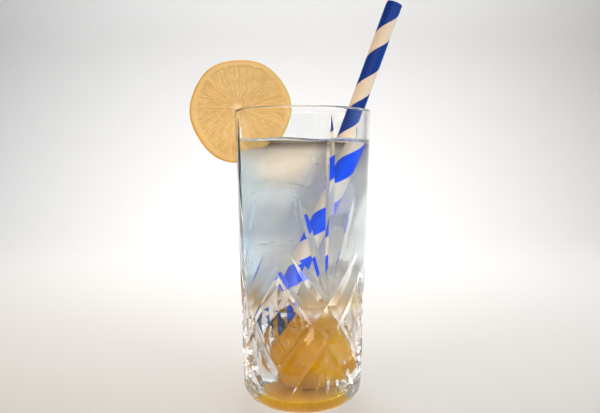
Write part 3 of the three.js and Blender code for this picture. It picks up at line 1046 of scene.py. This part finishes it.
class COCKTAIL_OT_straw(bpy.types.Operator):
    """Roll the paper straw and lean it in the glass"""
    bl_idname = "cocktail.straw"
    bl_label = "Paper Straw"

    SOFT_EDGE = 0.12 * MM
    ROWS = 80
    SIDES = 64

    def execute(self, context):
        straw = settings("straw")
        lean = math.atan(straw.lean)
        length = (straw.top - straw.bottom) / math.cos(lean)
        soft = self.SOFT_EDGE
        outer = straw.radius
        inner = outer - straw.wall
        rows = [soft + (length - 2 * soft) * i / self.ROWS for i in range(1, self.ROWS)]
        profile = [
            (inner, soft), (inner + soft, 0.0), (outer - soft, 0.0), (outer, soft),
            *[(outer, along) for along in rows],
            (outer, length - soft), (outer - soft, length), (inner + soft, length),
            (inner, length - soft), (inner, length / 2), (inner, soft),
        ]
        tube = turned("paper_straw", profile, self.SIDES)
        foot_x = straw_middle(straw.bottom)

        def place(point):
            x, y, z = point
            return Vector((foot_x + x * math.cos(lean) + z * math.sin(lean), y,
                           straw.bottom - x * math.sin(lean) + z * math.cos(lean)))

        move_points(tube, place)
        smooth(tube, 30)
        finished(tube, striped_paper(), "striped_paper", "straw")
        return {"FINISHED"}


def striped_paper():
    straw = settings("straw")
    level = settings("drink").level
    finish = Finish("striped_paper")
    # Coordinates that stand on the straw's lower end, with z along the straw
    upright = Euler((0, -math.atan(straw.lean), 0))
    foot = Vector((straw_middle(straw.bottom), 0, straw.bottom)) / MM
    foot.rotate(upright)
    own = finish.in_mm(location=-foot, rotation=upright)
    x, y, z = finish.split(own)
    turn = finish.math("DIVIDE", finish.math("ARCTAN2", y, x), 2 * math.pi)
    rise = finish.math("DIVIDE", z, straw.stripe_pitch / MM)
    phase = finish.math("ADD", finish.math("SUBTRACT", rise, turn), straw.stripe_start)
    share = finish.math("FRACT", phase)
    edge = 0.006
    inked = finish.ramp(share, [
        (0.0, 0.0), (edge, 1.0), (straw.stripe_share, 1.0), (straw.stripe_share + edge, 0.0)])
    fibres = finish.noise(own, 1.6, 4.0, 0.65)
    mottle = finish.ramp(finish.noise(own, 0.25, 2.0), [(0.3, 0.0), (0.7, 0.35)])
    rubbed = finish.ramp(fibres, [(0.45, 0.0), (0.8, 0.4)])
    # The paper is brighter where it is wet; low in the glass, where it runs into the puree, painted shade
    # makes its ink darker again
    height = finish.split(finish.place())[2]
    wet = finish.fade(height, level + 1.5 * MM, level - 0.5 * MM)
    painted_low_shade = finish.fade(height, 50 * MM, 43 * MM)
    white = finish.mix(wet, finish.mix(mottle, straw.white, (0.70, 0.62, 0.52)), straw.wet_white)
    ink = finish.mix(wet, finish.mix(rubbed, straw.blue, (0.001, 0.060, 0.40)), straw.wet_blue)
    ink = finish.mix(painted_low_shade, ink, (0.004, 0.035, 0.14))
    # The seam of the paper winding runs beside the stripes
    seam = finish.ramp(share, [(0.0, 0.0), (0.004, 1.0), (0.992, 1.0), (1.0, 0.0)])
    relief = finish.math("ADD", finish.times(fibres, 0.25), seam)
    return finish.solid({
        "Base Color": finish.mix(inked, white, ink),
        "Roughness": 0.38,
        "Specular IOR Level": 0.15,
        "Normal": finish.bump(relief, 0.06 * MM, 0.7),
    })


# Citrus wheel

# Angles of the membranes in degrees, from +X towards +Z
SEGMENT_EDGES = (18, 66, 107, 137, 180, 223, 262, 300, 338)
# Waves in the outline: how many go round, their size in millimetres and their turn in degrees
OUTLINE_WAVES = ((2, 0.35, 60), (3, 0.3, 20), (6, 0.28, 5))
MEMBRANE_HALF = 0.14 * MM
CORE_RADIUS = 1.2 * MM
FLESH_BANK = 0.5 * MM
CORNER_WIDTH = 2.2 * MM
CORNER_DROP = 1.4 * MM
SLIT_GAP = 0.3 * MM


def outline_radius(angle):
    """Radius of the wheel's outline at an angle from +X, turning towards +Z."""
    waves = sum(size * math.cos(count * (angle - math.radians(turn)))
                for count, size, turn in OUTLINE_WAVES)
    return settings("citrus").radius + waves * MM


def segment_at(angle):
    """Angle to the nearest membrane and half the width of the segment that holds an angle."""
    degrees = math.degrees(angle) % 360
    if degrees < SEGMENT_EDGES[0]:
        degrees += 360
    edges = [*SEGMENT_EDGES, SEGMENT_EDGES[0] + 360]
    for low, high in zip(edges, edges[1:]):
        if degrees <= high:
            return math.radians(min(degrees - low, high - degrees)), math.radians(high - low) / 2
    return 0.0, 0.3


def flesh_share(angle, radius):
    """1 inside a segment's flesh, 0 in membranes, core and pith, with a soft bank between."""
    citrus = settings("citrus")
    across = radius * math.cos(angle) - citrus.core_x
    up = radius * math.sin(angle) - citrus.core_z
    off, _ = segment_at(math.atan2(up, across))
    from_core = math.hypot(across, up)
    aside = from_core * math.sin(min(off, math.pi / 2))
    outer = outline_radius(angle) - citrus.pith
    outer -= CORNER_DROP * max(0.0, 1 - aside / CORNER_WIDTH) ** 2
    outer += uneven((angle * 3.1, radius * 200, 0.2), 0.35 * MM)
    from_edge = min(aside - MEMBRANE_HALF, outer - radius, from_core - CORE_RADIUS)
    return min(1.0, max(0.0, from_edge / FLESH_BANK))


class COCKTAIL_OT_citrus(bpy.types.Operator):
    """Slice the citrus wheel, with its peel, pith and sunken flesh, and hang it on the rim"""
    bl_idname = "cocktail.citrus"
    bl_label = "Citrus Wheel"

    SPIN_STEPS = 400
    SLIT_STEPS = 96
    RINGS = 52
    EDGE_ROWS = 10
    CROWDING = 0.85

    def execute(self, context):
        citrus = settings("citrus")
        half = citrus.thickness / 2
        rings = [citrus.radius * (i / self.RINGS) ** self.CROWDING for i in range(self.RINGS + 1)]
        levels = [-half + citrus.thickness * i / self.EDGE_ROWS for i in range(1, self.EDGE_ROWS)]
        front = [(radius, -half) for radius in rings]
        edge = [(citrus.radius, level) for level in levels]
        back = [(radius, half) for radius in reversed(rings)]
        wheel = turned("citrus_wheel", [*front, *edge, *back], self.SPIN_STEPS)
        marks = [self.shape(vertex) for vertex in wheel.data.vertices]
        for name, column in (("flesh", 0), ("peel", 1)):
            attribute = wheel.data.attributes.new(name, "FLOAT", "POINT")
            attribute.data.foreach_set("value", [mark[column] for mark in marks])
        self.slit(wheel)
        smooth(wheel, 40)
        finished(wheel, citrus_flesh(), "citrus", "citrus_slice")
        return {"FINISHED"}

    def shape(self, vertex):
        """Moves one point of the flat wheel to its place and tells how much flesh and peel it is."""
        citrus = settings("citrus")
        half = citrus.thickness / 2
        x, y, z = vertex.co
        angle = math.atan2(y, x)
        share = math.hypot(x, y) / citrus.radius
        radius = share * outline_radius(angle)
        side = z / half
        flesh = flesh_share(angle, radius) if abs(side) > 0.999 else 0.0
        bevel = max(0.0, abs(side) - 0.55) / 0.45
        inset = 0.8 * MM * bevel ** 2 if share > 0.9999 else 0.0
        dimple = uneven((angle * 26, side * 6, 1.7), 0.16 * MM) if share > 0.97 else 0.0
        radius += dimple - inset
        sunk = 0.35 * MM + uneven((angle * 34, radius * 260, side * 5), 0.22 * MM)
        pitted = abs(uneven((angle * 8, radius * 300, side), 0.08 * MM))
        depth = half - flesh * sunk - (1 - flesh) * pitted
        vertex.co = hung_on_rim(radius * math.cos(angle), side * depth, radius * math.sin(angle))
        return flesh, rising(share, 0.951, 0.983)

    def slit(self, wheel):
        """Cuts the slit that takes the rim: the wall of the glass, grown by a small gap."""
        citrus = settings("citrus")
        glass = settings("glass")
        low = citrus.centre_z - 1.2 * citrus.radius
        top = glass.height + SLIT_GAP
        inner = (wall_inside(low) - SLIT_GAP, low)
        profile = [
            inner, (outer_radius(low) + SLIT_GAP, low),
            (glass.rim_radius + SLIT_GAP, top), (glass.rim_radius - glass.rim_wall - SLIT_GAP, top),
            inner,
        ]
        room = turned("rim_room", profile, self.SLIT_STEPS)
        cutters = cutter_collection("slit")
        into(cutters, room)
        cut(wheel, cutters)


def hung_on_rim(x, depth, z):
    """Turns the wheel's own plane into the glass: a little round the upright, then to the rim."""
    citrus = settings("citrus")
    return Vector((
        citrus.centre_x + x * math.cos(citrus.yaw) - depth * math.sin(citrus.yaw),
        x * math.sin(citrus.yaw) + depth * math.cos(citrus.yaw),
        citrus.centre_z + z,
    ))


def citrus_flesh():
    citrus = settings("citrus")
    finish = Finish("citrus_flesh")
    # Coordinates in the wheel's own plane, from its core
    flat = Euler((0, 0, -citrus.yaw))
    core = Vector((citrus.centre_x, 0, citrus.centre_z))
    core.rotate(flat)
    core += Vector((citrus.core_x, 0, citrus.core_z))
    own = finish.in_mm(location=-core / MM, rotation=flat)
    x, y, z = finish.split(own)
    angle = finish.math("ARCTAN2", z, x)
    radius = finish.length(finish.join(x, z))
    streaks = finish.join(finish.times(angle, 9.0), finish.times(radius, 0.16), finish.times(y, 0.2))
    vesicles = finish.noise(streaks, 1.6, 3.0, 0.55)
    painted_glints = finish.noise(streaks, 4.2, 2.0, 0.6)
    rays = finish.join(finish.times(angle, 22.0), finish.times(radius, 0.12))
    fibres = finish.ramp(finish.noise(rays, 1.9, 3.0, 0.6), [(0.54, 0.0), (0.62, 1.0)])
    fibres = finish.times(fibres, finish.fade(radius, 21.0, 3.0, 0.1, 0.85))
    juicy = finish.mix(finish.ramp(vesicles, [(0.36, 0.0), (0.62, 1.0)]), citrus.flesh, (0.69, 0.445, 0.145))
    # Painted highlights: small glints are painted into the flesh's colour
    juicy = finish.mix(finish.ramp(painted_glints, [(0.60, 0.0), (0.70, 0.7)]), juicy, (0.90, 0.68, 0.34))
    juicy = finish.mix(fibres, juicy, (1.0, 0.84, 0.56))
    spots = finish.ramp(finish.noise(own, 0.5, 3.0), [(0.3, 0.0), (0.7, 0.6)])
    pith = finish.mix(spots, citrus.pith_colour, (0.77, 0.53, 0.23))
    colour = finish.mix(finish.mark("flesh"), pith, juicy)
    colour = finish.mix(finish.fade(radius, 3.4, 1.0, high=0.85), colour, (0.92, 0.72, 0.46))
    green = finish.ramp(finish.times(x, 1 / 26), [(0.35, 0.0), (0.9, 0.9)])
    skin = finish.mix(green, citrus.peel, (0.52, 0.47, 0.07))
    relief = finish.math("ADD", vesicles, finish.times(painted_glints, 0.4))
    return finish.solid({
        "Base Color": finish.mix(finish.mark("peel"), colour, skin),
        "Roughness": 0.32,
        "Specular IOR Level": 0.45,
        "Normal": finish.bump(relief, 0.35 * MM, 0.6),
    })


# Stage

class COCKTAIL_OT_stage(bpy.types.Operator):
    """Set the pale floor and backdrop, soft light and the camera"""
    bl_idname = "cocktail.stage"
    bl_label = "Stage"

    # The floor's sizes in metres: it lies just under the glass and bends up into the backdrop
    UNDER_GLASS = 0.25 * MM
    FLOOR_WIDTH = 3.2
    FLOOR_FRONT = -1.6
    BEND_FROM = 0.55
    BEND = 0.35
    BACKDROP_TOP = 1.8

    # Colour, power and rise in degrees of the low ring's soft boxes, warm on the left to cool on the right
    RING = (
        ((1.0, 0.66, 0.38), 0.24, 14),
        ((1.0, 0.76, 0.52), 0.36, 14),
        ((1.0, 0.88, 0.74), 0.48, 19),
        ((0.96, 0.96, 1.0), 0.40, 14),
        ((0.80, 0.91, 1.0), 0.48, 14),
    )
    LAMP_DISTANCE = 1.05
    LAMP_MIDDLE = Vector((0, 0, 0.07))

    # The dim room round the stage, from warm on the left to cool on the right
    ROOM = (
        (0.0, (0.95, 0.76, 0.60)),
        (0.25, (0.16, 0.14, 0.12)),
        (0.75, (0.13, 0.15, 0.16)),
        (1.0, (0.70, 0.88, 1.00)),
    )

    def execute(self, context):
        self.floor()
        self.lights()
        self.surroundings()
        self.camera()
        context.scene.view_settings.view_transform = "Standard"
        cycles = context.scene.cycles
        cycles.max_bounces = 32
        cycles.transmission_bounces = 32
        cycles.transparent_max_bounces = 32
        cycles.glossy_bounces = 12
        return {"FINISHED"}

    def floor(self):
        bend = arc((self.BEND_FROM, self.BEND - self.UNDER_GLASS), self.BEND, -90, 0, 16)
        side = [(self.FLOOR_FRONT, -self.UNDER_GLASS), *bend, (self.BEND_FROM + self.BEND, self.BACKDROP_TOP)]
        sweep = drawn_line("floor", [(-self.FLOOR_WIDTH / 2, y, z) for y, z in side])
        bpy.ops.mesh.extrude_region_move(TRANSFORM_OT_translate={"value": (self.FLOOR_WIDTH, 0, 0)})
        bpy.ops.object.mode_set(mode="OBJECT")
        smooth(sweep, 40)
        sweep.data.materials.append(Finish("pale_floor").solid({
            "Base Color": settings("stage").floor_colour,
            "Roughness": 0.8,
            "Specular IOR Level": 0.1,
        }))

    def lights(self):
        """A low ring of soft boxes, two small ones that glint on the facets, and softer ones above."""
        for i, (colour, power, rise) in enumerate(self.RING):
            self.lamp(f"box_{i + 1}", -90 + 45 * i, rise, (0.85, 0.18), power, colour)
        for i, (side, colour) in enumerate(((-60, (1.0, 0.78, 0.58)), (60, (1.0, 0.92, 0.84)))):
            self.lamp(f"facet_glint_{i + 1}", side, 21, (0.5, 0.12), 0.1, colour)
        self.lamp("top", 0, 75, (0.6, 0.6), 0.12, (1.0, 0.97, 0.94))
        self.lamp("floor_light", 180, 70, (0.5, 0.5), 0.8, (1.0, 0.97, 0.93), aim=(0, 0.3, 0), spread=60)
        self.lamp("backdrop", 180, 65, (1.2, 0.6), 6.4, (1.0, 1.0, 1.0), aim=(0, 0.8, 0.38), spread=110)

    def lamp(self, name, side, rise, size, power, colour, aim=(0, 0, 0.08), spread=48):
        """A soft box about a metre off: turned to the side from the camera and raised, in degrees."""
        light = bpy.data.lights.new(name, "AREA")
        light.shape = "RECTANGLE"
        light.size, light.size_y = size
        light.energy = power
        light.color = colour
        light.spread = math.radians(spread)
        lamp = bpy.data.objects.new(name, light)
        bpy.context.scene.collection.objects.link(lamp)
        side, rise = math.radians(side), math.radians(rise)
        place = Vector((math.sin(side) * math.cos(rise), -math.cos(side) * math.cos(rise), math.sin(rise)))
        lamp.location = place * self.LAMP_DISTANCE + self.LAMP_MIDDLE
        lamp.rotation_euler = (Vector(aim) - lamp.location).to_track_quat("-Z", "Y").to_euler()
        lamp.visible_camera = False

    def surroundings(self):
        """A dim room behind and beside the glass, grey in front of it, and a pale backdrop for the camera."""
        world = bpy.data.worlds.new("soft_room")
        bpy.context.scene.world = world
        nodes = Nodes(world, "OutputWorld")
        x, y, _ = nodes.split(nodes.node("TexCoord").outputs["Generated"])
        colours = nodes.ramp(nodes.fade(x, -1.0, 1.0), self.ROOM)
        around = nodes.mix(nodes.fade(y, -0.1, 0.35), (0.14, 0.14, 0.14), colours)
        room = nodes.node("Background", {"Color": around, "Strength": 0.7})
        backdrop = nodes.node("Background", {"Color": (0.80, 0.79, 0.78)})
        is_camera = nodes.node("LightPath").outputs["Is Camera Ray"]
        nodes.surface(nodes.mix_shaders(is_camera, room, backdrop))

    def camera(self):
        stage = settings("stage")
        data = bpy.data.cameras.new("camera")
        data.lens = stage.lens
        data.sensor_width = 36
        data.clip_start = 0.01
        camera = bpy.data.objects.new("camera", data)
        bpy.context.scene.collection.objects.link(camera)
        camera.location = (stage.camera_side, -stage.camera_distance, stage.camera_height)
        camera.rotation_euler = (math.pi / 2 - stage.camera_pitch, 0, 0)
        bpy.context.scene.camera = camera


# Panel and registration

OPERATORS = (
    COCKTAIL_OT_stage,
    COCKTAIL_OT_glass,
    COCKTAIL_OT_puree,
    COCKTAIL_OT_drink,
    COCKTAIL_OT_haze,
    COCKTAIL_OT_ice,
    COCKTAIL_OT_bubbles,
    COCKTAIL_OT_straw,
    COCKTAIL_OT_citrus,
)
GROUPS = {
    "glass": GlassSettings,
    "cuts": CutSettings,
    "drink": DrinkSettings,
    "puree": PureeSettings,
    "straw": StrawSettings,
    "citrus": CitrusSettings,
    "stage": StageSettings,
}


class COCKTAIL_PT_panel(bpy.types.Panel):
    """Sizes, colours and steps of the cocktail"""
    bl_idname = "COCKTAIL_PT_panel"
    bl_label = "Yuzu Cocktail"
    bl_space_type = "VIEW_3D"
    bl_region_type = "UI"
    bl_category = "Cocktail"

    def draw(self, context):
        for name, group in GROUPS.items():
            box = self.layout.box()
            box.label(text=name.capitalize())
            for key in group.__annotations__:
                box.prop(settings(name), key)
        for operator in OPERATORS:
            self.layout.operator(operator.bl_idname)


def register():
    for group in GROUPS.values():
        bpy.utils.register_class(group)
    for operator in OPERATORS:
        bpy.utils.register_class(operator)
    bpy.utils.register_class(COCKTAIL_PT_panel)
    for name, group in GROUPS.items():
        setattr(bpy.types.Scene, "cocktail_" + name, bpy.props.PointerProperty(type=group))


def unregister():
    for name in GROUPS:
        delattr(bpy.types.Scene, "cocktail_" + name)
    bpy.utils.unregister_class(COCKTAIL_PT_panel)
    for operator in reversed(OPERATORS):
        bpy.utils.unregister_class(operator)
    for group in reversed(GROUPS.values()):
        bpy.utils.unregister_class(group)


def main():
    register()
    for operator in OPERATORS:
        step = getattr(bpy.ops.cocktail, operator.bl_idname.split(".")[1])
        step()


if __name__ == "__main__":
    main()
